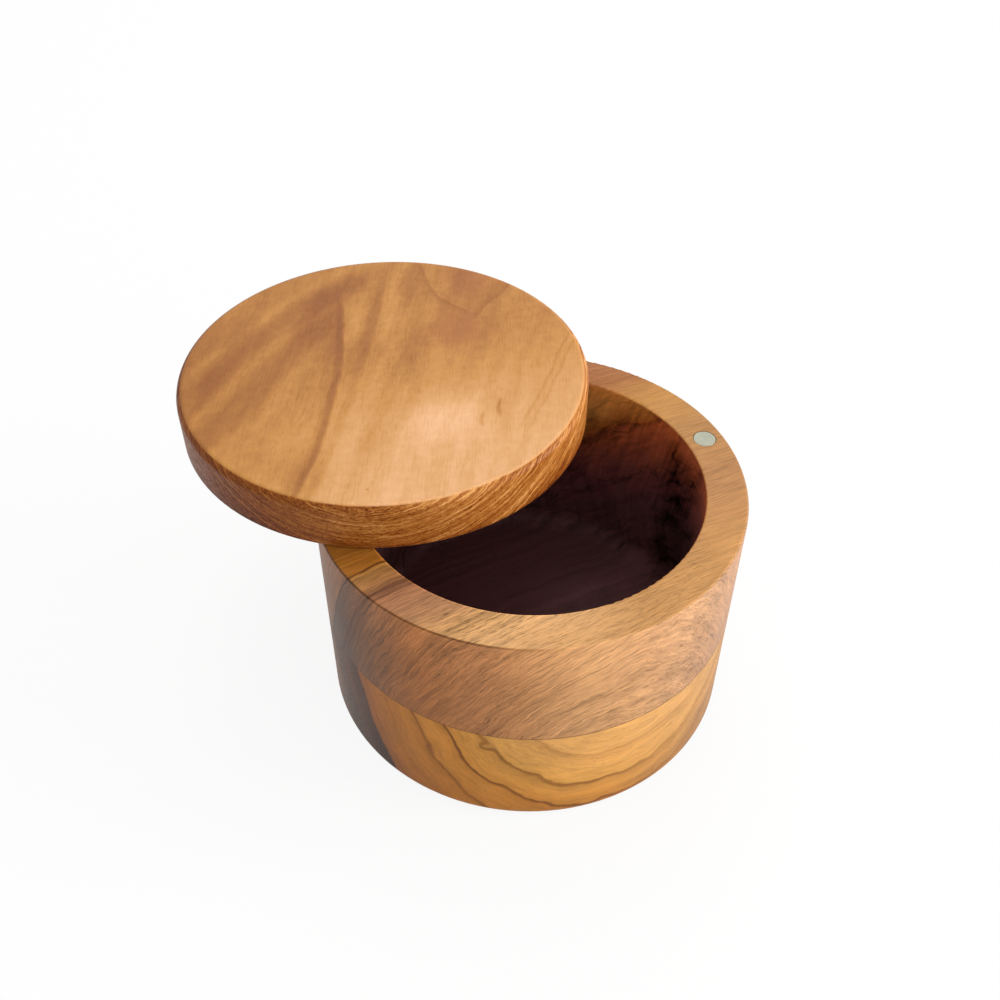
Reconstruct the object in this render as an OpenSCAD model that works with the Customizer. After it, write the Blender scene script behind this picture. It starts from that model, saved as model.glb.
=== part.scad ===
// Round turned salt box with a swivel lid.
// Two turned blocks, glued one on the other, make the box, and a thick disc covers it.
// The lid swings flat over the rim about an upright pin in the wall, and a pair of
// magnets holds it shut. Millimetres, +Z up. The origin is the centre of the underside,
// the pin stands on the -X side, and the lid is drawn where it stands open.

/* [Box] */
// Outside diameter of the box
box_d = 89; // [80:1:120]
// Thickness of the wall, which is the width of the flat rim
wall_t = 8.5; // [7.5:0.5:11]
// Height of the lower block, which holds the floor
lower_h = 27; // [22:1:40]
// Height of the upper block, a plain ring
upper_h = 27; // [22:1:40]
// Thickness of the floor
floor_t = 9; // [5:0.5:14]
// Radius of the turned corner between the wall and the floor
cavity_round = 4; // [1:0.5:6]
// Rounding of the bottom edge
foot_round = 2; // [0.5:0.25:3]
// Rounding of the two edges of the rim
rim_round = 0.5; // [0.2:0.1:1]

/* [Lid] */
// How far the edge of the lid lies inside the edge of the box, all round
lid_inset = 0.5; // [0:0.25:3]
// Thickness of the lid
lid_t = 10.6; // [8.6:0.2:16]
// Rounding of the top edge of the lid
lid_top_round = 1.6; // [0.5:0.1:3]
// Rounding of the lower edge of the lid
lid_low_round = 0.5; // [0.2:0.1:1.5]
// Gap between the rim and the lid that turns over it
lid_gap = 0.2; // [0.15:0.05:0.4]
// How far the lid stands open about the pin, from closed
lid_open = 59; // [0:1:150]

/* [Pivot] */
// Diameter of the pivot pin
pin_d = 4; // [3:0.5:5]
// Length of the pin that is glued in the lid
pin_in_lid = 7; // [5:0.5:7.5]
// Length of the pin below the rim
pin_in_box = 20; // [14:1:24]
// Rounding of the two ends of the pin
pin_round = 0.4; // [0.2:0.1:0.6]
// Running clearance between the pin and its sleeve, on the radius
pin_clear = 0.05; // [0.02:0.01:0.1]
// Wall of the sleeve that the pin turns in
sleeve_t = 0.75; // [0.5:0.05:1]
// Length of the sleeve past the lower end of the pin
sleeve_spare = 1.5; // [0.5:0.5:2.5]

/* [Magnets] */
// Diameter of each disc magnet
magnet_d = 5; // [4:0.5:6]
// Thickness of each disc magnet
magnet_t = 3; // [2:0.5:5]
// Bevel on the edges of each magnet
magnet_bevel = 0.15; // [0.1:0.05:0.3]
// How far each magnet is sunk below the face of the wood
magnet_sink = 0.05; // [0.02:0.01:0.15]
// Angle round the rim from the pin to the magnet
magnet_turn = 178; // [165:1:195]

/* [Fits] */
// Room for glue round a piece that is set in a bore, on the radius
glue_film = 0.02; // [0.01:0.01:0.1]
// Depth of a blind bore past the end of the pin or sleeve in it
bore_spare = 0.5; // [0.25:0.25:1]

/* [Hidden] */

// Sides of the turned surfaces, and of the small rounds on their edges
turned_sides = 96;
edge_sides = 32;
// How far a cut runs out past the face that it opens through
past = 1;

box_r = box_d / 2;
box_h = lower_h + upper_h;
cavity_r = box_r - wall_t;
// The pin and the magnets stand midway between the two edges of the rim
rim_mid_r = box_r - wall_t / 2;
lid_r = box_r - lid_inset;
lid_z = box_h + lid_gap;
pin_r = pin_d / 2;
pin_low_z = box_h - pin_in_box;
sleeve_in_r = pin_r + pin_clear;
sleeve_out_r = sleeve_in_r + sleeve_t;
sleeve_low_z = pin_low_z - sleeve_spare;
magnet_r = magnet_d / 2;

lower_wood = [0.70, 0.47, 0.22];
upper_wood = [0.74, 0.54, 0.36];
lid_wood = [0.80, 0.57, 0.33];
brass = [0.71, 0.60, 0.36];
steel = [0.62, 0.63, 0.64];
nickel = [0.76, 0.76, 0.70];

// What a rounding takes off a square outer corner that points right and up
module corner_cut(r) {
    difference() {
        translate([-r, -r]) square(r + past);
        translate([-r, -r]) circle(r = r, $fn = edge_sides);
    }
}

// Half section of a disc that stands on the X axis, with its two rims rounded
module disc_section(r, h, top_round, low_round) {
    difference() {
        square([r, h]);
        translate([r, h]) corner_cut(top_round);
        translate([r, 0]) mirror([0, 1]) corner_cut(low_round);
    }
}

// Half section of the space inside the box, open at the top
module cavity_section() {
    difference() {
        translate([0, floor_t]) square([cavity_r, box_h - floor_t + past]);
        translate([cavity_r, floor_t]) mirror([0, 1]) corner_cut(cavity_round);
    }
}

// Half section of the whole box, before it is parted into its two blocks
module box_section() {
    difference() {
        disc_section(box_r, box_h, rim_round, foot_round);
        cavity_section();
        translate([cavity_r, box_h]) mirror([1, 0]) corner_cut(rim_round);
    }
}

// The turned body of one block, from one height on
module turned_block(low_z, h) {
    rotate_extrude($fn = turned_sides) intersection() {
        box_section();
        translate([0, low_z]) square([box_r, h]);
    }
}

// A plain round bar or bore, from one height up to another
module round_bar(r, low_z, high_z) {
    translate([0, 0, low_z]) cylinder(h = high_z - low_z, r = r, $fn = turned_sides);
}

// Puts its children on the axis of the pin
module at_pivot() {
    translate([-rim_mid_r, 0, 0]) children();
}

// Puts its children where the two magnets meet when the lid is closed
module at_magnet() {
    rotate([0, 0, 180 + magnet_turn]) translate([rim_mid_r, 0, 0]) children();
}

// Swings its children about the pin, from closed to where the lid stands open
module swung_open() {
    at_pivot() rotate([0, 0, lid_open]) translate([rim_mid_r, 0, 0]) children();
}

// The bore in the wall that the sleeve is set in
module sleeve_bore() {
    at_pivot() round_bar(sleeve_out_r + glue_film, sleeve_low_z - bore_spare, box_h + past);
}

// A disc magnet with bevelled edges, from one height up
module disc_magnet(low_z) {
    b = magnet_bevel;
    translate([0, 0, low_z]) rotate_extrude($fn = turned_sides) polygon([
        [0, 0], [magnet_r - b, 0], [magnet_r, b],
        [magnet_r, magnet_t - b], [magnet_r - b, magnet_t], [0, magnet_t]]);
}

module lower_bowl() {
    color(lower_wood) difference() {
        turned_block(0, lower_h);
        sleeve_bore();
    }
}

module upper_ring() {
    color(upper_wood) difference() {
        turned_block(lower_h, upper_h);
        sleeve_bore();
        at_magnet() round_bar(magnet_r + glue_film, box_h - magnet_sink - magnet_t, box_h + past);
    }
}

module pivot_sleeve() {
    color(brass) at_pivot() difference() {
        round_bar(sleeve_out_r, sleeve_low_z, box_h);
        round_bar(sleeve_in_r, sleeve_low_z - past, box_h + past);
    }
}

module rim_magnet() {
    color(nickel) at_magnet() disc_magnet(box_h - magnet_sink - magnet_t);
}

module lid() {
    color(lid_wood) swung_open() difference() {
        translate([0, 0, lid_z]) rotate_extrude($fn = turned_sides)
            disc_section(lid_r, lid_t, lid_top_round, lid_low_round);
        at_pivot() round_bar(pin_r + glue_film, lid_z - past, lid_z + pin_in_lid + bore_spare);
        at_magnet() round_bar(magnet_r + glue_film, lid_z - past, lid_z + magnet_sink + magnet_t);
    }
}

module pivot_pin() {
    color(steel) at_pivot() translate([0, 0, pin_low_z]) rotate_extrude($fn = turned_sides)
        disc_section(pin_r, pin_in_box + lid_gap + pin_in_lid, pin_round, pin_round);
}

module lid_magnet() {
    color(nickel) swung_open() at_magnet() disc_magnet(lid_z + magnet_sink);
}

lower_bowl();
upper_ring();
pivot_sleeve();
rim_magnet();
lid();
pivot_pin();
lid_magnet();
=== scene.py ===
import math
import bpy
from mathutils import Matrix, Vector


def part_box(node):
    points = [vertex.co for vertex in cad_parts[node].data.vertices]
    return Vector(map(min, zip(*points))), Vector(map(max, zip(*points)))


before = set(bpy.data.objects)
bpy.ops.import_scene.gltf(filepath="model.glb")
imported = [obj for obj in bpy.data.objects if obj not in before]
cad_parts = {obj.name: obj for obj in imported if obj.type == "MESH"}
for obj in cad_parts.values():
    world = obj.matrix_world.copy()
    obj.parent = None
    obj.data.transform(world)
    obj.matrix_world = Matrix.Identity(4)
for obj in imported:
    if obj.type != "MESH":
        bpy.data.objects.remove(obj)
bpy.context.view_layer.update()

# One millimetre in the scene's metres
MM = 0.001
WHITE = (1.0, 1.0, 1.0, 1.0)

# The camera as the photograph's outlines place it: place, aim, lens and sensor in mm, roll in degrees
CAMERA_PLACE = Vector((-73.64, -158.98, 212.90)) * MM
CAMERA_AIM = Vector((-7.91, -2.62, 54.0)) * MM
CAMERA_ROLL = 0.376
CAMERA_LENS = 41.337
CAMERA_SENSOR = 36.0
# Nearest distance that the camera shows, in metres
CAMERA_NEAR = 0.01

# Half the side of the square floor, in metres, and its colour and roughness
FLOOR_REACH = 3.0
FLOOR_GREY = (0.6, 0.6, 0.6, 1.0)
FLOOR_ROUGH = 0.9
# Strength of the floor's white glow, and its share in what the camera sees of the floor
FLOOR_GLOW = 1.05
FLOOR_WHITE = 0.85

# Strength of the even light from all round
WORLD_STRENGTH = 0.7

# Each lamp is a square of this side, this far from the point it faces, all in metres
LAMP_SIDE = 0.55
LAMP_DISTANCE = 1.0
LAMP_AIM = Vector((0.0, 0.0, 0.03))
# Lamps: name, bearing about +Z from +X, height in degrees, watts. The camera's bearing is about -115
LAMPS = (("side", -25, 15, 10.5), ("front", -70, 15, 2.0), ("back", 65, 58, 2.5))


def middle_of(node):
    """The middle of a node in millimetres."""
    return [(low + high) / 2 / MM for low, high in zip(*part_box(node))]


# Sizes of the box and the lid in millimetres, read off the frame
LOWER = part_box("lower_bowl")
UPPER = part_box("upper_ring")
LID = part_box("lid")
BOX_R = UPPER[1][1] / MM
GLUE_Z = LOWER[1][2] / MM
RIM_Z = UPPER[1][2] / MM
LID_LOW_Z = LID[0][2] / MM
LID_TOP_Z = LID[1][2] / MM
LID_MIDDLE = middle_of("lid")[:2]
# The sleeve stands midway between the two edges of the rim
CAVITY_R = 2 * math.hypot(*middle_of("pivot_sleeve")[:2]) - BOX_R
# Thickness of the floor of the box, which the frame's boxes don't show
FLOOR_T = 9.0


class Field:
    """A number, vector or colour that varies over a surface.

    Arithmetic on it, and each of its methods, adds the nodes that work out the result.
    """

    def __init__(self, graph, socket):
        self.graph = graph
        self.socket = socket

    def __add__(self, other):
        return self.graph.math("ADD", self, other)

    def __sub__(self, other):
        return self.graph.math("SUBTRACT", self, other)

    def __rsub__(self, other):
        return self.graph.math("SUBTRACT", other, self)

    def __mul__(self, other):
        return self.graph.math("MULTIPLY", self, other)

    def __truediv__(self, other):
        return self.graph.math("DIVIDE", self, other)

    def absolute(self):
        return self.graph.math("ABSOLUTE", self)

    def root(self):
        return self.graph.math("SQRT", self)

    def highest(self, other):
        return self.graph.math("MAXIMUM", self, other)

    def step(self, low, high, at_low=0.0, at_high=1.0):
        """Goes smoothly from at_low to at_high as the field goes from low to high."""
        node = self.graph.node("ShaderNodeMapRange")
        node.interpolation_type = "SMOOTHSTEP"
        for name, value in (("From Min", low), ("From Max", high), ("To Min", at_low), ("To Max", at_high)):
            self.graph.feed(node.inputs[name], value)
        self.graph.feed(node.inputs["Value"], self)
        return Field(self.graph, node.outputs["Result"])

    def fall(self, low, high):
        """Goes smoothly from 1 to 0 as the field goes from low to high."""
        return self.step(low, high, 1.0, 0.0)

    def between(self, rise_from, rise_to, fall_from, fall_to):
        """0, then 1 from rise_to to fall_from, then 0 again, with smooth ways between."""
        return self.step(rise_from, rise_to) * self.fall(fall_from, fall_to)

    def ridge(self, place, before, after):
        """1 on a place of the field, 0 from before short of it and from after past it."""
        return self.between(place - before, place, place, place + after)

    def line(self, place, width):
        """1 on a place of the field and 0 past a width to each side of it."""
        return (self - place).absolute().fall(0.0, width)

    def ramp(self, stops):
        """A colour for each value of the field. Each stop is (value, (red, green, blue))."""
        low, high = stops[0][0], stops[-1][0]
        node = self.graph.node("ShaderNodeValToRGB")
        elements = node.color_ramp.elements
        elements.remove(elements[1])
        for i, (value, colour) in enumerate(stops):
            position = (value - low) / (high - low)
            element = elements.new(position) if i else elements[0]
            element.position = position
            element.color = (*colour, 1.0)
        self.graph.feed(node.inputs["Fac"], (self - low) / (high - low))
        return Field(self.graph, node.outputs["Color"])

    def tones(self, stops):
        """A colour for each value of the field. Each stop is (value, hex code)."""
        return self.ramp([(value, srgb(code)) for value, code in stops])

    def curve(self, stops):
        """A number from -1 to 1 for each value of the field. Each stop is (value, number)."""
        return self.ramp([(value, (number / 2 + 0.5,) * 3) for value, number in stops]) * 2.0 - 1.0

    def toward(self, colour, share):
        """A colour taken towards another, a field or a hex code, by a share from 0 to 1."""
        return self.graph.mix(share, self, colour)

    def shaded(self, share):
        """A colour times one plus a share, so 0 leaves it as it is."""
        factor = share + 1.0
        return self.graph.mix(1.0, self, self.graph.vector(factor, factor, factor), "MULTIPLY")


class Graph:
    """The node tree of one material."""

    def __init__(self, name):
        self.material = bpy.data.materials.new(name)
        self.material.use_nodes = True
        self.tree = self.material.node_tree
        self.shader = self.tree.nodes["Principled BSDF"]

    def node(self, kind):
        return self.tree.nodes.new(kind)

    def feed(self, socket, value):
        """Links a field to a socket, or sets a plain value on it."""
        if isinstance(value, Field):
            self.tree.links.new(value.socket, socket)
        else:
            socket.default_value = value

    def math(self, operation, a, b=None):
        node = self.node("ShaderNodeMath")
        node.operation = operation
        self.feed(node.inputs[0], a)
        if b is not None:
            self.feed(node.inputs[1], b)
        return Field(self, node.outputs[0])

    def place(self):
        """The place on the object in millimetres, as three fields that move along with the piece."""
        coordinates = self.node("ShaderNodeTexCoord")
        apart = self.node("ShaderNodeSeparateXYZ")
        self.tree.links.new(coordinates.outputs["Object"], apart.inputs[0])
        return [Field(self, apart.outputs[i]) * (1 / MM) for i in range(3)]

    def vector(self, x, y, z):
        node = self.node("ShaderNodeCombineXYZ")
        for i, value in enumerate((x, y, z)):
            self.feed(node.inputs[i], value)
        return Field(self, node.outputs[0])

    def noise(self, x, y, z, detail=2.0, roughness=0.5):
        """Noise from 0 to 1 about 0.5. Its grains are one unit of the coordinates across."""
        node = self.node("ShaderNodeTexNoise")
        self.feed(node.inputs["Vector"], self.vector(x, y, z))
        node.inputs["Scale"].default_value = 1.0
        node.inputs["Detail"].default_value = detail
        node.inputs["Roughness"].default_value = roughness
        return Field(self, node.outputs["Fac"])

    def mix(self, share, a, b, kind="MIX"):
        """Colour a, taken towards colour b by a share from 0 to 1. A colour is a field or a hex code."""
        node = self.node("ShaderNodeMix")
        node.data_type = "RGBA"
        node.blend_type = kind
        node.clamp_factor = True
        colours = [socket for socket in node.inputs if socket.type == "RGBA"]
        self.feed(node.inputs["Factor"], share)
        for socket, value in zip(colours, (a, b)):
            self.feed(socket, (*srgb(value), 1.0) if isinstance(value, str) else value)
        return Field(self, [socket for socket in node.outputs if socket.type == "RGBA"][0])

    def bump(self, height, depth):
        """Relief from a height of 0 to 1, depth millimetres deep."""
        node = self.node("ShaderNodeBump")
        node.inputs["Strength"].default_value = 1.0
        node.inputs["Distance"].default_value = depth * MM
        self.feed(node.inputs["Height"], height)
        self.tree.links.new(node.outputs["Normal"], self.shader.inputs["Normal"])


def srgb(code):
    """A linear colour from a hex code as a screen shows it."""
    parts = [int(code[i:i + 2], 16) / 255 for i in (0, 2, 4)]
    return tuple(p / 12.92 if p < 0.04045 else ((p + 0.055) / 1.055) ** 2.4 for p in parts)


class Rings:
    """Growth rings of one block: cylinders about an axis that runs along the grain, outside the block.

    bearing is the way to the axis, in degrees about +Z. away is how far the axis lies from the
    middle of the block that way, height is its height there, and slope its rise along the grain.
    """

    def __init__(self, graph, bearing, away, height, slope=0.0, centre=(0.0, 0.0)):
        x, y, z = graph.place()
        self.graph = graph
        self.x, self.y, self.z = x - centre[0], y - centre[1], z
        toward = Vector((math.cos(math.radians(bearing)), math.sin(math.radians(bearing))))
        self.across = self.x * toward.x + self.y * toward.y
        self.along = self.x * -toward.y + self.y * toward.x
        flat = away - self.across
        rise = self.z - height - self.along * slope
        self.distance = (flat * flat + rise * rise).root()
        self.turn = graph.math("ARCTAN2", rise, flat) * away

    def wavy(self, waves):
        """The distance from the axis, with waves of (size across in mm, reach in mm) in it."""
        ring = self.distance
        for size, reach in waves:
            wave = self.graph.noise(self.x / size, self.y / size, self.z / size + reach)
            ring = ring + (wave - 0.5) * (2 * reach)
        return ring

    def fibres(self, ring, thick, wide, long, seed, detail=3.0, roughness=0.6):
        """Streaks along the grain, from about -0.5 to 0.5, in mm across, round and along."""
        turn = self.turn / wide + seed
        return self.graph.noise(ring / thick, turn, self.along / long, detail, roughness) - 0.5

    def bearing(self):
        """The bearing of a place about the middle of the block, in degrees from -180 to 180."""
        return self.graph.math("ARCTAN2", self.y, self.x) * math.degrees(1)

    def arc(self):
        """The same bearing, in millimetres round the outside of the box."""
        return self.bearing() * (math.radians(1) * BOX_R)

    def radius(self):
        return (self.x * self.x + self.y * self.y).root()


def streak(x, y, start, end, bow, profile, fade):
    """A streak from one place to another, bowed to its left, that fades at its ends.

    profile says how dark it is at each distance to its left, in (distance, darkness) stops.
    """
    chord = Vector(end) - Vector(start)
    length = chord.length
    way = chord / length
    travel = (x - start[0]) * way.x + (y - start[1]) * way.y
    left = (y - start[1]) * way.x - (x - start[0]) * way.y
    left = left - travel * (length - travel) * (4.0 * bow / length ** 2)
    return left.curve(profile) * travel.between(-fade, fade, length - fade, length + fade)


def patch(x, y, centre, lean, long, wide):
    """1 in the middle of an oval patch and 0 outside it. lean is the bearing of its long way."""
    ux, uy = math.cos(math.radians(lean)), math.sin(math.radians(lean))
    over = ((x - centre[0]) * ux + (y - centre[1]) * uy) / long
    beside = ((y - centre[1]) * ux - (x - centre[0]) * uy) / wide
    return (over * over + beside * beside).root().fall(0.0, 1.0)


# How strongly oiled wood mirrors straight on, as the shader counts it, and its roughness
WOOD_GLOSS = 0.12
BOX_ROUGH = 0.42
LID_ROUGH = 0.38


def finish_wood(graph, colour, fine, pores, rough, depth, gloss=WOOD_GLOSS):
    """Oiled, sanded wood: the fibres and pores vary its gloss and relief."""
    graph.feed(graph.shader.inputs["Base Color"], colour)
    graph.feed(graph.shader.inputs["Roughness"], fine * 0.2 + pores * 0.2 + rough)
    graph.feed(graph.shader.inputs["Specular IOR Level"], gloss)
    graph.bump(fine * 0.5 - pores * 0.8 + 0.5, depth)
    return graph.material


# Dark heartwood inside the box by depth below the rim in mm, darkening from the rim down as painted shade
HEART_SHADE_TONES = (
    (-14.0, "d8783a"), (-6.0, "c86c38"), (2.0, "b25e3c"), (10.0, "864c47"),
    (22.0, "6c484b"), (34.0, "6d4a4c"), (60.0, "8b5f60"))


def inside_colour(rings, coarse):
    """Dark heartwood inside the box, darkened from the rim down by painted shade, with an amber patch of
    painted light below the rim at the back.
    """
    graph = rings.graph
    sway = graph.noise(rings.x / 8, rings.y / 8, rings.z / 6, detail=3.0) - 0.5
    bearing = rings.bearing()
    # The patch's lower edge, in mm up. It slopes, and rises past the rim at the patch's two ends
    edge_z = 50.0 - (bearing - 21.0) * 0.5 + bearing.step(70.0, 100.0) * 40.0
    edge_z = edge_z + bearing.fall(-20.0, 5.0) * 40.0 + bearing.step(128.0, 168.0) * 90.0
    below = edge_z - rings.z + sway * 9.0
    # Painted light: the amber patch where light falls on the upper back wall, over the darker heartwood
    # below it
    amber = graph.mix(below.step(-8.0, 0.0), "dc9448", "b46a2c")
    # How deep below the rim, counted shallower at the back, where the painted shade is lighter
    deep = (RIM_Z - rings.z) + sway * 14.0 - bearing.between(-20.0, 60.0, 120.0, 170.0) * 16.0
    colour = amber.toward(deep.tones(HEART_SHADE_TONES), below.step(-1.6, 1.2))
    # Slanting veins and cracks, only on the wall, and not where the bearing jumps from 180 to -180
    on_wall = rings.radius().step(CAVITY_R - 4.5, CAVITY_R - 1.0) * bearing.absolute().fall(165.0, 177.0)
    slant = rings.z * 0.7 + bearing * 0.44
    veins = graph.noise(slant / 1.6 + sway * 4.0, rings.z / 14, bearing / 30, detail=3.0) - 0.5
    veins = veins * on_wall
    cracks = graph.noise(slant / 6 + sway * 2.0, rings.z / 18, bearing / 60, detail=1.0) - 0.5
    cracks = cracks.line(0.0, 0.06) * on_wall
    # Painted shade: a very dark place on the right wall, from below the rim down to the floor
    right_wall_shade = bearing.between(-22.0, -8.0, 4.0, 14.0) * rings.z.fall(RIM_Z - 7.0, RIM_Z - 2.0)
    right_wall_shade = right_wall_shade * deep.fall(34.0, 44.0)
    shade = coarse * 1.1 + veins * 1.9 - veins.step(0.04, 0.12) * 0.3 - cracks * 0.3
    return colour.shaded(shade - below.ridge(0.4, 1.2, 2.6) * 0.36 - right_wall_shade * 0.55)


def is_inside(rings):
    """1 on the inner faces of the box and 0 on the outer ones and the rim."""
    wall = rings.radius().fall(CAVITY_R + 0.1, CAVITY_R + 0.35)
    return wall * rings.z.between(FLOOR_T - 1.0, FLOOR_T - 0.5, RIM_Z - 0.45, RIM_Z - 0.25)


# Colours of the lower block, by distance from the rings' axis in mm
GOLDEN_TONES = (
    (40.0, "d9a15e"), (49.0, "d89e58"), (54.0, "d49849"), (58.0, "ca893a"),
    (66.0, "bd7a30"), (76.0, "a36225"), (79.0, "8c5220"), (79.6, "4e2d1c"),
    (92.0, "5a3a24"), (99.0, "7a5030"), (112.0, "a0642e"), (124.0, "85502a"))

# Growth lines of the lower block: distance from the axis in mm, darkness of the line and of the
# band outside it
GOLDEN_LINES = (
    (48.9, 0.26, 0.18), (54.2, 0.72, 0.3), (59.6, 0.8, 0.34), (65.2, 0.72, 0.34), (71.5, 0.16, 0.12),
    (76.6, 0.4, 0.0), (84.6, 0.2, 0.1), (104.0, 0.4, 0.3), (117.8, 0.4, 0.3))


def golden_lines(rings, ring, coarse, colour):
    """Draws the growth lines of the lower block over its colour, fainter on the right."""
    sharp, broad = 0.0, 0.0
    for place, dark, band in GOLDEN_LINES:
        sharp = ring.ridge(place, 0.34, 0.75) * dark + sharp
        broad = ring.ridge(place + 0.3, 1.0, 2.4) * band + broad
    crisp = rings.along.step(-12.0, 14.0, 1.0, 0.25)
    return colour.toward("955816", broad).toward("703e10", sharp * crisp * (coarse * 1.8 + 1.0))


def lower_wood():
    """Golden wood with dark curved growth lines and a dark heart on the left."""
    graph = Graph("lower_wood")
    rings = Rings(graph, bearing=-84.3, away=85.3, height=45.4, slope=0.077)
    ring = rings.wavy([(13.0, 1.5), (7.0, 1.1)])
    # A hook in one growth line, left of the front
    ring = ring - patch(rings.arc(), rings.z, (-97.0, 23.0), lean=0.0, long=3.2, wide=2.6) * 1.5
    fine = rings.fibres(ring, thick=0.4, wide=5.0, long=16.0, seed=3.0, detail=4.0, roughness=0.7)
    coarse = rings.fibres(ring, thick=1.7, wide=30.0, long=60.0, seed=8.0)
    cloud = rings.fibres(ring, thick=8.0, wide=12.0, long=40.0, seed=5.0, detail=2.0)
    pores = rings.fibres(ring, thick=0.25, wide=0.8, long=4.0, seed=1.0, detail=1.0).step(0.1, 0.22)
    # The wood is browner low on the left and paler towards the right, where the greyer tint is painted
    # sheen and the colour is also darkened
    low = rings.z.fall(2.0, 15.0) * rings.along.fall(-8.0, 18.0) * ring.between(50.0, 62.0, 76.0, 79.0)
    right = rings.along.step(6.0, 36.0)
    far = rings.along.step(24.0, 36.0)
    early = rings.along.between(-6.0, 10.0, 18.0, 30.0)
    colour = ring.tones(GOLDEN_TONES).toward("a86626", low * 0.3)
    colour = colour.toward("b5854f", right * 0.6 + far * 0.36).toward("b88a58", early * 0.25)
    colour = golden_lines(rings, ring, coarse, colour)
    shade = fine * 0.85 + coarse * 0.36 + cloud * 0.5 - pores * 0.14 - right * 0.34 - early * 0.08
    # Painted shade: darker towards the bottom, most of all on the dark heart on the left
    heart = ring.step(78.0, 80.0) * rings.along.fall(-10.0, 6.0)
    bottom = rings.along.step(-22.0, 8.0) * 0.19 + heart * 0.3
    glue = rings.z.step(GLUE_Z - 0.3, GLUE_Z - 0.05)
    colour = colour.shaded(shade - rings.z.fall(3.0, 15.0) * bottom - glue * 0.4)
    colour = colour.toward(inside_colour(rings, coarse), is_inside(rings))
    return finish_wood(graph, colour, fine, pores, BOX_ROUGH, depth=0.04)


# Colours of the upper block by distance from the rings' axis in mm: the rim on the left and on the
# right, the outer wall, and the wall past the last growth line
RIM_LEFT_TONES = (
    (150.0, "c28f5a"), (167.0, "d6a26b"), (171.0, "be8d57"), (177.0, "a8764e"), (184.6, "8a5838"),
    (189.8, "a8763c"), (191.0, "a66824"), (203.0, "8a5620"), (220.0, "b07a4e"))
RIM_RIGHT_TONES = (
    (150.0, "c08d55"), (165.0, "bc8851"), (180.0, "b38051"), (196.0, "b0804e"), (210.0, "b98446"),
    (218.0, "9d673c"), (230.0, "a47049"))
WALL_TONES = (
    (148.0, "b6865d"), (151.5, "c29060"), (156.4, "bd8454"), (160.5, "af764a"), (169.0, "a4683a"),
    (179.0, "805434"), (189.0, "5c3f2a"), (230.0, "54392a"))
BEYOND_TONES = ((190.0, "865836"), (203.0, "8a6044"), (215.0, "a5764a"), (230.0, "b07c56"))

# Growth lines of the upper block: distance from the axis, reach inward and outward in mm, darkness,
# and how far along the grain they stay strong
TAN_LINES = (
    (149.8, 0.5, 1.0, 0.10, 30.0), (153.8, 0.35, 0.7, 0.4, -10.0), (168.0, 0.4, 0.8, 0.16, -10.0),
    (183.6, 0.5, 0.6, 0.3, -14.0), (184.7, 0.35, 1.3, 0.6, -14.0), (190.6, 0.3, 0.6, 0.8, 0.0),
    (196.0, 0.4, 0.8, 0.3, -20.0), (201.0, 0.4, 0.8, 0.25, 0.0))


def rim_colour(rings, ring):
    """The rim: golden at the front, brown with dark streaks on the left, orange tan on the right."""
    return ring.tones(RIM_LEFT_TONES).toward(ring.tones(RIM_RIGHT_TONES), rings.along.step(-4.0, 12.0))


def upper_wall_colour(rings, ring):
    """The outer face of the upper block: pale tan on the right, where its greyer tint is painted sheen, and
    browner towards the left.
    """
    tone = ring - (rings.z - 41.0) * 0.45
    right = rings.along.step(2.0, 30.0)
    colour = tone.tones(WALL_TONES).toward(ring.tones(BEYOND_TONES), ring.step(190.4, 191.0))
    # Painted sheen: a greyer pink tint on the right
    colour = colour.toward("a37c5d", right * 0.75)
    # Lighter near the rim but for a dark streak on the left, and darker near the glue on the right
    light = rings.z.step(40.0, 51.0) * (1.0 - right) * 0.28 - rings.z.fall(28.0, 42.0) * right * 0.16
    dark = patch(rings.arc(), rings.z, (-106.0, 50.0), lean=50.0, long=8.0, wide=4.0)
    return colour.shaded(light - dark * 0.33)


def tan_lines(rings, ring, colour):
    """Draws the growth lines of the upper block over its colour, and two pale arcs low on the front."""
    dark = 0.0
    for place, inward, outward, share, reach in TAN_LINES:
        kept = rings.along.step(reach - 8.0, reach + 8.0, 1.0, 0.1)
        dark = ring.ridge(place, inward, outward) * kept * share + dark
    arcs = ring.line(147.7, 0.6) * 0.3 + ring.line(144.5, 0.8) * 0.14
    return colour.toward("4a2610", dark).shaded(arcs * rings.along.step(2.0, 16.0, 1.0, 0.25))


def edge_highlight_and_line(rings):
    """A painted highlight along the rim's inner edge, and a darker line on its outer edge near the pin."""
    radius = rings.radius()
    inner = radius.fall(CAVITY_R + 0.25, CAVITY_R + 0.6) * rings.z.step(RIM_Z - 0.5, RIM_Z - 0.1)
    outer = radius.step(BOX_R - 0.36, BOX_R - 0.2) * rings.z.step(RIM_Z - 0.42, RIM_Z - 0.24)
    rough = rings.graph.noise(rings.x / 1.5, rings.y / 1.5, 3.0, detail=3.0) * 0.8 + 0.6
    return inner * 0.35 + outer * rough * rings.bearing().absolute().step(104.0, 128.0, -0.04, -0.5)


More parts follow.
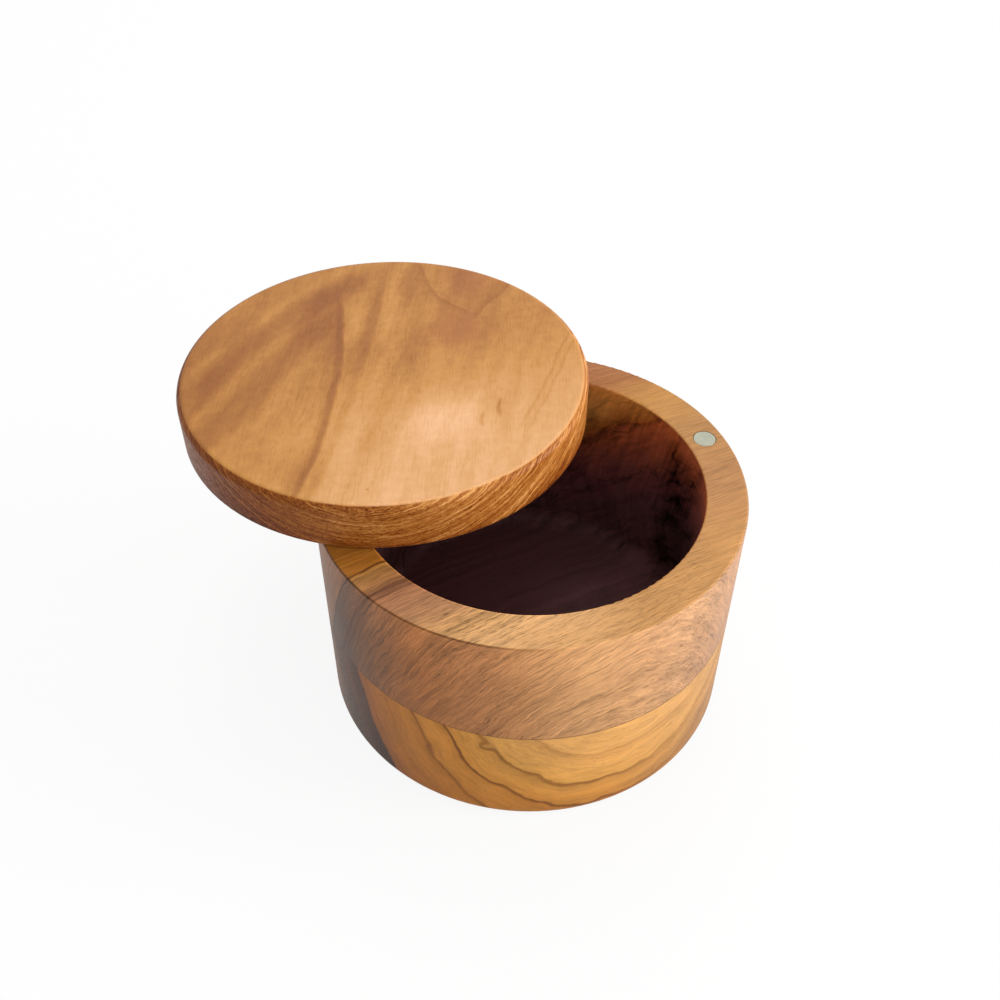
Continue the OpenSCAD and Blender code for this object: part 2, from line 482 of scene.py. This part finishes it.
def upper_wood():
    """Pinkish tan wood with fine fibres, and dark streaks across the rim on the left."""
    graph = Graph("upper_wood")
    rings = Rings(graph, bearing=-95.7, away=182.3, height=-19.9, slope=0.46)
    ring = rings.wavy([(16.0, 1.2), (5.0, 0.4), (1.2, 0.12)])
    fine = rings.fibres(ring, thick=0.3, wide=8.0, long=7.0, seed=5.0, detail=4.0, roughness=0.8)
    coarse = rings.fibres(ring, thick=1.1, wide=26.0, long=40.0, seed=2.0, detail=4.0, roughness=0.65)
    cloud = rings.fibres(ring, thick=5.0, wide=14.0, long=30.0, seed=5.0, detail=2.0)
    pores = rings.fibres(ring, thick=0.25, wide=1.6, long=4.0, seed=9.0, detail=1.0).step(0.06, 0.18)
    pores = pores * rings.along.absolute().fall(22.0, 34.0)
    wall = rings.radius().step(BOX_R - 0.45, BOX_R - 0.15)
    colour = rim_colour(rings, ring).toward(upper_wall_colour(rings, ring), wall)
    colour = tan_lines(rings, ring, colour)
    # The fibres show darkest where the dark streaks are
    bold = ring.between(160.0, 172.0, 186.0, 200.0) * rings.along.fall(-10.0, 5.0)
    streaky = fine * (bold + wall * 0.6 + 1.4) + coarse * (bold * 0.6 + 0.5) - pores * (bold * 0.24 + 0.2)
    glue = rings.z.fall(GLUE_Z + 0.05, GLUE_Z + 0.3) * rings.along.step(-20.0, 10.0, -0.35, -0.6)
    colour = colour.shaded(streaky + cloud * 0.4).shaded(edge_highlight_and_line(rings)).shaded(glue)
    colour = colour.toward(inside_colour(rings, coarse), is_inside(rings))
    return finish_wood(graph, colour, fine, pores, BOX_ROUGH, depth=0.05)


# Colours of the lid's flat faces and of its side, by darkness
LID_TOP_TONES = (
    (-1.0, "e8b484"), (-0.5, "d69d64"), (0.0, "c2863f"), (0.4, "a86b2a"), (0.8, "92561c"), (1.4, "703e14"))
LID_SIDE_TONES = (
    (-1.6, "e2a868"), (-0.6, "c58748"), (0.0, "a8682b"), (0.6, "884814"), (1.2, "682f08"), (1.9, "481e05"))

# Bearing of the grain on the lid's flat faces, in degrees
LID_GRAIN = 57.0

# Profiles of the streaks on the lid: distance to the left in mm, darkness
BAND = ((-4.4, 0.0), (-2.0, 0.24), (0.0, 0.3), (2.0, 0.24), (3.8, 0.0), (5.4, -0.16), (8.0, 0.0))
EDGE = (
    (-6.0, 0.0), (-3.0, -0.16), (-0.6, -0.08), (0.1, 0.46), (0.8, 0.5), (1.7, 0.2), (4.0, 0.06),
    (8.0, 0.0))
SOFT = ((-6.5, 0.0), (-4.2, -0.2), (-1.6, -0.08), (-0.6, 0.24), (0.3, 0.32), (1.6, 0.12), (3.2, 0.0))
WIDE = ((-3.4, 0.0), (0.0, 0.24), (1.6, 0.16), (4.0, 0.0))
THIN = ((-1.6, 0.0), (-0.6, 0.0), (0.0, 0.34), (0.8, 0.2), (2.4, 0.08), (5.0, 0.0))
TWIN = ((-2.0, 0.0), (-1.4, 0.24), (-0.9, 0.06), (-0.2, 0.06), (0.3, 0.3), (1.0, 0.0))
FLECK = ((-0.5, 0.0), (0.0, 0.5), (0.8, 0.0))

# Streaks on the lid, in mm from its middle: start, end, bow to the left, profile, half length of a fade
LID_STREAKS = (
    ((-38.0, 6.0), (8.0, 37.0), 2.4, BAND, 7.0),
    ((-45.0, -13.0), (-6.0, 24.0), -0.5, BAND, 7.0),
    ((-29.0, -34.0), (-1.0, 28.0), -3.2, EDGE, 8.0),
    ((-27.0, -35.0), (9.5, 31.0), -1.2, SOFT, 8.0),
    ((4.0, -5.0), (14.0, 11.0), 0.8, WIDE, 4.0),
    ((24.5, 13.5), (20.2, 22.0), 0.6, THIN, 2.5),
    ((20.2, 22.0), (21.0, 36.0), 0.4, THIN, 2.5),
    ((25.0, 10.5), (44.0, 24.0), 0.5, THIN, 4.0),
    ((20.0, -29.0), (43.0, -2.0), -0.6, TWIN, 5.0),
    ((12.0, -26.0), (14.0, -22.0), 0.2, FLECK, 0.8),
    ((17.0, -24.5), (19.0, -19.0), 0.2, FLECK, 1.2))

# Oval patches on the lid, in mm from its middle: middle, bearing of the long way, half length and
# half width, darkness
LID_PATCHES = (
    ((20.0, 8.0), 60.0, 11.0, 8.0, 0.34),
    ((-8.0, 19.0), 60.0, 13.0, 8.0, 0.3),
    ((-4.0, 8.0), 60.0, 12.0, 9.0, 0.22),
    ((-2.0, 31.0), 20.0, 18.0, 9.0, 0.26),
    ((15.0, 27.0), 80.0, 14.0, 5.0, 0.2),
    ((28.0, 26.0), 70.0, 14.0, 9.0, 0.42),
    ((24.0, 25.0), 80.0, 10.0, 2.5, -0.2),
    # Painted sheen: the next two pale patches in front of the middle
    ((6.0, -21.0), 40.0, 18.0, 12.0, -0.5),
    ((5.0, -21.0), 30.0, 10.0, 7.0, -0.2),
    ((-11.0, -23.0), 60.0, 9.0, 5.0, 0.2),
    ((-25.0, -28.0), 130.0, 17.0, 13.0, 0.42),
    ((17.0, -21.0), 60.0, 8.0, 4.0, 0.2),
    ((-27.0, 23.0), 40.0, 12.0, 8.0, 0.18),
    ((-15.0, -35.5), 0.0, 0.5, 0.5, 0.6))

# Middles of the two reddish places on the lid
LID_REDDISH = ((30.0, 26.0), (20.0, 8.0))


def lid_marks(graph, x, y):
    """How dark the bands, streaks and patches make each place of the lid's flat faces, with painted sheen
    that lightens the front and painted shade that darkens the left.
    """
    sway_x = graph.noise(x / 8, y / 8, 1.0, detail=3.0) - 0.5
    sway_y = graph.noise(x / 8, y / 8, 5.0, detail=3.0) - 0.5
    x, y = x + sway_x * 1.8, y + sway_y * 1.8
    # Painted sheen: lighter towards the front. Painted shade: darker towards the left
    total = y.step(-42.0, 10.0, -0.58, 0.22) + x.fall(-44.0, -18.0) * 0.34
    for start, end, bow, profile, fade in LID_STREAKS:
        total = total + streak(x, y, start, end, bow, profile, fade)
    for centre, lean, long, wide, dark in LID_PATCHES:
        total = total + patch(x, y, centre, lean, long, wide) * dark
    return total


def lid_top_colour(rings, pores):
    """The lid's flat faces: honey tan with soft brown bands, paler towards the front as painted sheen."""
    graph = rings.graph
    x, y = rings.x, rings.y
    lean = math.radians(LID_GRAIN)
    along = x * math.cos(lean) + y * math.sin(lean)
    across = x * math.sin(lean) - y * math.cos(lean)
    fan = across + (graph.noise(x / 18, y / 18, 2.0) - 0.5) * 5.0
    grain = graph.noise(fan / 0.8, along / 12, rings.z / 9, detail=4.0, roughness=0.7) - 0.5
    bands = graph.noise(fan / 4.0, along / 50, rings.z / 30) - 0.5
    mottle = graph.noise(x / 2.5, y / 2.5, 9.0, detail=5.0, roughness=0.7) - 0.5
    dark = lid_marks(graph, x, y) + grain * 0.3 + bands * 0.7 + mottle * 0.66 + pores * 0.08
    reddish = [patch(x, y, centre, lean=60.0, long=12.0, wide=9.0) for centre in LID_REDDISH]
    return dark.tones(LID_TOP_TONES).toward("b06a3c", reddish[0].highest(reddish[1]) * 0.35)


def lid_side_colour(rings, ring, fine, pores, layers):
    """The lid's side: fine arched layers, with painted shade that darkens it on the left, at the bottom and
    at the back.
    """
    bearing = rings.bearing()
    # Painted shade: darker on the left and at the back, and towards the lower edge
    left = bearing.fall(-150.0, -108.0).highest(bearing.step(60.0, 120.0))
    right = bearing.between(-80.0, -62.0, -54.0, -44.0)
    low = rings.z.fall(LID_LOW_Z, LID_LOW_Z + 6.0) * 0.35 + rings.z.fall(LID_LOW_Z, LID_LOW_Z + 1.6) * 0.5
    speck = bearing.between(-136.0, -122.0, -106.0, -94.0) * rings.z.step(LID_TOP_Z - 6.0, LID_TOP_Z - 1.0)
    # Pale arcs, thin as a hair, where a slow noise across the layers passes through its middle
    arcs = rings.fibres(ring, thick=1.6, wide=40.0, long=90.0, seed=7.0, detail=1.0).line(0.0, 0.035)
    arcs = arcs * bearing.between(-140.0, -120.0, 130.0, 170.0)
    dark = layers * 3.2 + fine * (speck * 1.6 + 2.8) + pores * 0.45 - arcs * 0.7
    dark = dark + left * 0.72 + right * 0.28 + low + speck * 0.4 - 0.02
    return dark.tones(LID_SIDE_TONES)


def lid_wood():
    """Honey tan wood: soft brown bands on the top, fine arched layers round the side."""
    graph = Graph("lid_wood")
    rings = Rings(graph, bearing=-24.0, away=0.0, height=102.0, centre=LID_MIDDLE)
    ring = rings.wavy([(12.0, 0.8), (3.0, 0.3), (1.0, 0.12)])
    # The rings' axis runs over the middle of the lid, so the way across stands in for the way round
    rings.turn = rings.across
    fine = rings.fibres(ring, thick=0.3, wide=1.2, long=8.0, seed=4.0, detail=4.0, roughness=0.75)
    layers = rings.fibres(ring, thick=0.5, wide=30.0, long=90.0, seed=2.0, roughness=0.75)
    pores = rings.fibres(ring, thick=0.25, wide=0.6, long=6.0, seed=6.0, detail=1.0).step(0.04, 0.14)
    # 1 on the flat faces and 0 on the side
    flat = rings.z.step(LID_TOP_Z - 0.24, LID_TOP_Z - 0.06)
    flat = flat.highest(rings.z.fall(LID_LOW_Z + 0.05, LID_LOW_Z + 0.4))
    side_colour = lid_side_colour(rings, ring, fine, pores, layers)
    colour = side_colour.toward(lid_top_colour(rings, pores), flat)
    relief = fine * (1.2 - flat * 0.9) + layers * (1.0 - flat)
    pores = pores * (1.0 - flat * 0.6)
    return finish_wood(graph, colour, relief, pores, LID_ROUGH, depth=0.04, gloss=flat * 0.13 + WOOD_GLOSS)


# Metal pieces: node, material, hex code, roughness, whether it was turned
METALS = (
    ("rim_magnet", "rim_nickel", "a6a696", 0.45, False),
    ("lid_magnet", "lid_nickel", "a6a696", 0.45, False),
    ("pivot_pin", "ground_steel", "c4c5c7", 0.3, False),
    ("pivot_sleeve", "turned_brass", "d9b56c", 0.35, True))


def satin_metal(name, code, rough, middle, turned):
    """Metal with fine scratches, in circles about its middle where it was turned."""
    graph = Graph(name)
    x, y, z = graph.place()
    x, y = x - middle[0], y - middle[1]
    if turned:
        scratch = graph.noise((x * x + y * y).root() * 9.0, z * 2.0, 0.0, detail=3.0) - 0.5
    else:
        scratch = graph.noise(x * 0.8, y * 0.8, z * 9.0, detail=3.0) - 0.5
    stain = graph.noise(x * 0.9, y * 0.9, z * 0.9) - 0.5
    clean = srgb(code)
    stained = tuple(part * 0.6 for part in clean)
    colour = (stain * 0.5 + scratch * 0.3).ramp([(-0.5, stained), (0.5, clean)])
    graph.feed(graph.shader.inputs["Base Color"], colour)
    graph.feed(graph.shader.inputs["Roughness"], scratch * 0.3 + rough)
    graph.shader.inputs["Metallic"].default_value = 1.0
    graph.bump(scratch, 0.01)
    return graph.material


def dress(node, material):
    """Gives a CAD node its finish."""
    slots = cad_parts[node].data.materials
    slots.clear()
    slots.append(material)


def add_camera():
    """The camera, at the photograph's viewing angle."""
    data = bpy.data.cameras.new("camera")
    data.lens = CAMERA_LENS
    data.sensor_width = CAMERA_SENSOR
    data.clip_start = CAMERA_NEAR
    camera = bpy.data.objects.new("camera", data)
    bpy.context.scene.collection.objects.link(camera)
    forward = (CAMERA_AIM - CAMERA_PLACE).normalized()
    turn = forward.to_track_quat("-Z", "Y").to_matrix().to_4x4()
    roll = Matrix.Rotation(math.radians(CAMERA_ROLL), 4, "Z")
    camera.matrix_world = Matrix.Translation(CAMERA_PLACE) @ turn @ roll
    bpy.context.scene.camera = camera


def seen_directly(tree):
    """1 for rays from the camera, a mirror or a window, and 0 for the rays that light things."""
    path = tree.nodes.new("ShaderNodeLightPath")
    total = path.outputs["Is Camera Ray"]
    for other in ("Is Glossy Ray", "Is Transmission Ray"):
        most = tree.nodes.new("ShaderNodeMath")
        most.operation = "MAXIMUM"
        tree.links.new(total, most.inputs[0])
        tree.links.new(path.outputs[other], most.inputs[1])
        total = most.outputs[0]
    return total


def blend_shaders(tree, share, first, second, target):
    """Feeds a mix of two shaders to a target, with more of the second as the share goes to 1."""
    blend = tree.nodes.new("ShaderNodeMixShader")
    tree.links.new(share, blend.inputs[0])
    tree.links.new(first, blend.inputs[1])
    tree.links.new(second, blend.inputs[2])
    tree.links.new(blend.outputs[0], target)


def add_floor():
    """A pale floor that keeps the shadow and otherwise shows nearly white."""
    mesh = bpy.data.meshes.new("floor")
    corners = [(-1, -1), (1, -1), (1, 1), (-1, 1)]
    mesh.from_pydata([(x * FLOOR_REACH, y * FLOOR_REACH, 0.0) for x, y in corners], [], [(0, 1, 2, 3)])
    floor = bpy.data.objects.new("floor", mesh)
    bpy.context.scene.collection.objects.link(floor)
    graph = Graph("floor")
    graph.shader.inputs["Base Color"].default_value = FLOOR_GREY
    graph.shader.inputs["Roughness"].default_value = FLOOR_ROUGH
    white = graph.node("ShaderNodeEmission")
    white.inputs["Strength"].default_value = FLOOR_GLOW
    share = Field(graph, seen_directly(graph.tree)) * FLOOR_WHITE
    target = graph.tree.nodes["Material Output"].inputs["Surface"]
    blend_shaders(graph.tree, share.socket, graph.shader.outputs[0], white.outputs[0], target)
    mesh.materials.append(graph.material)


def add_world():
    """Even light from all round, in front of a white background."""
    world = bpy.data.worlds.new("studio")
    bpy.context.scene.world = world
    world.use_nodes = True
    tree = world.node_tree
    light = tree.nodes["Background"]
    light.inputs["Color"].default_value = WHITE
    light.inputs["Strength"].default_value = WORLD_STRENGTH
    white = tree.nodes.new("ShaderNodeBackground")
    white.inputs["Color"].default_value = WHITE
    target = tree.nodes["World Output"].inputs["Surface"]
    blend_shaders(tree, seen_directly(tree), light.outputs[0], white.outputs[0], target)


def add_lamp(name, bearing, height, power):
    """A soft square lamp that faces the box, with its bearing and height in degrees."""
    data = bpy.data.lights.new(name, "AREA")
    data.size = LAMP_SIDE
    data.energy = power
    lamp = bpy.data.objects.new(name, data)
    bpy.context.scene.collection.objects.link(lamp)
    b, h = math.radians(bearing), math.radians(height)
    way = Vector((math.cos(b) * math.cos(h), math.sin(b) * math.cos(h), math.sin(h)))
    lamp.location = LAMP_AIM + way * LAMP_DISTANCE
    lamp.rotation_euler = (-way).to_track_quat("-Z", "Y").to_euler()


add_camera()
add_floor()
add_world()
for name, bearing, height, power in LAMPS:
    add_lamp(name, bearing, height, power)
bpy.context.scene.view_settings.view_transform = "Standard"

dress("lower_bowl", lower_wood())
dress("upper_ring", upper_wood())
dress("lid", lid_wood())
for node, name, code, rough, turned in METALS:
    dress(node, satin_metal(name, code, rough, middle_of(node), turned))
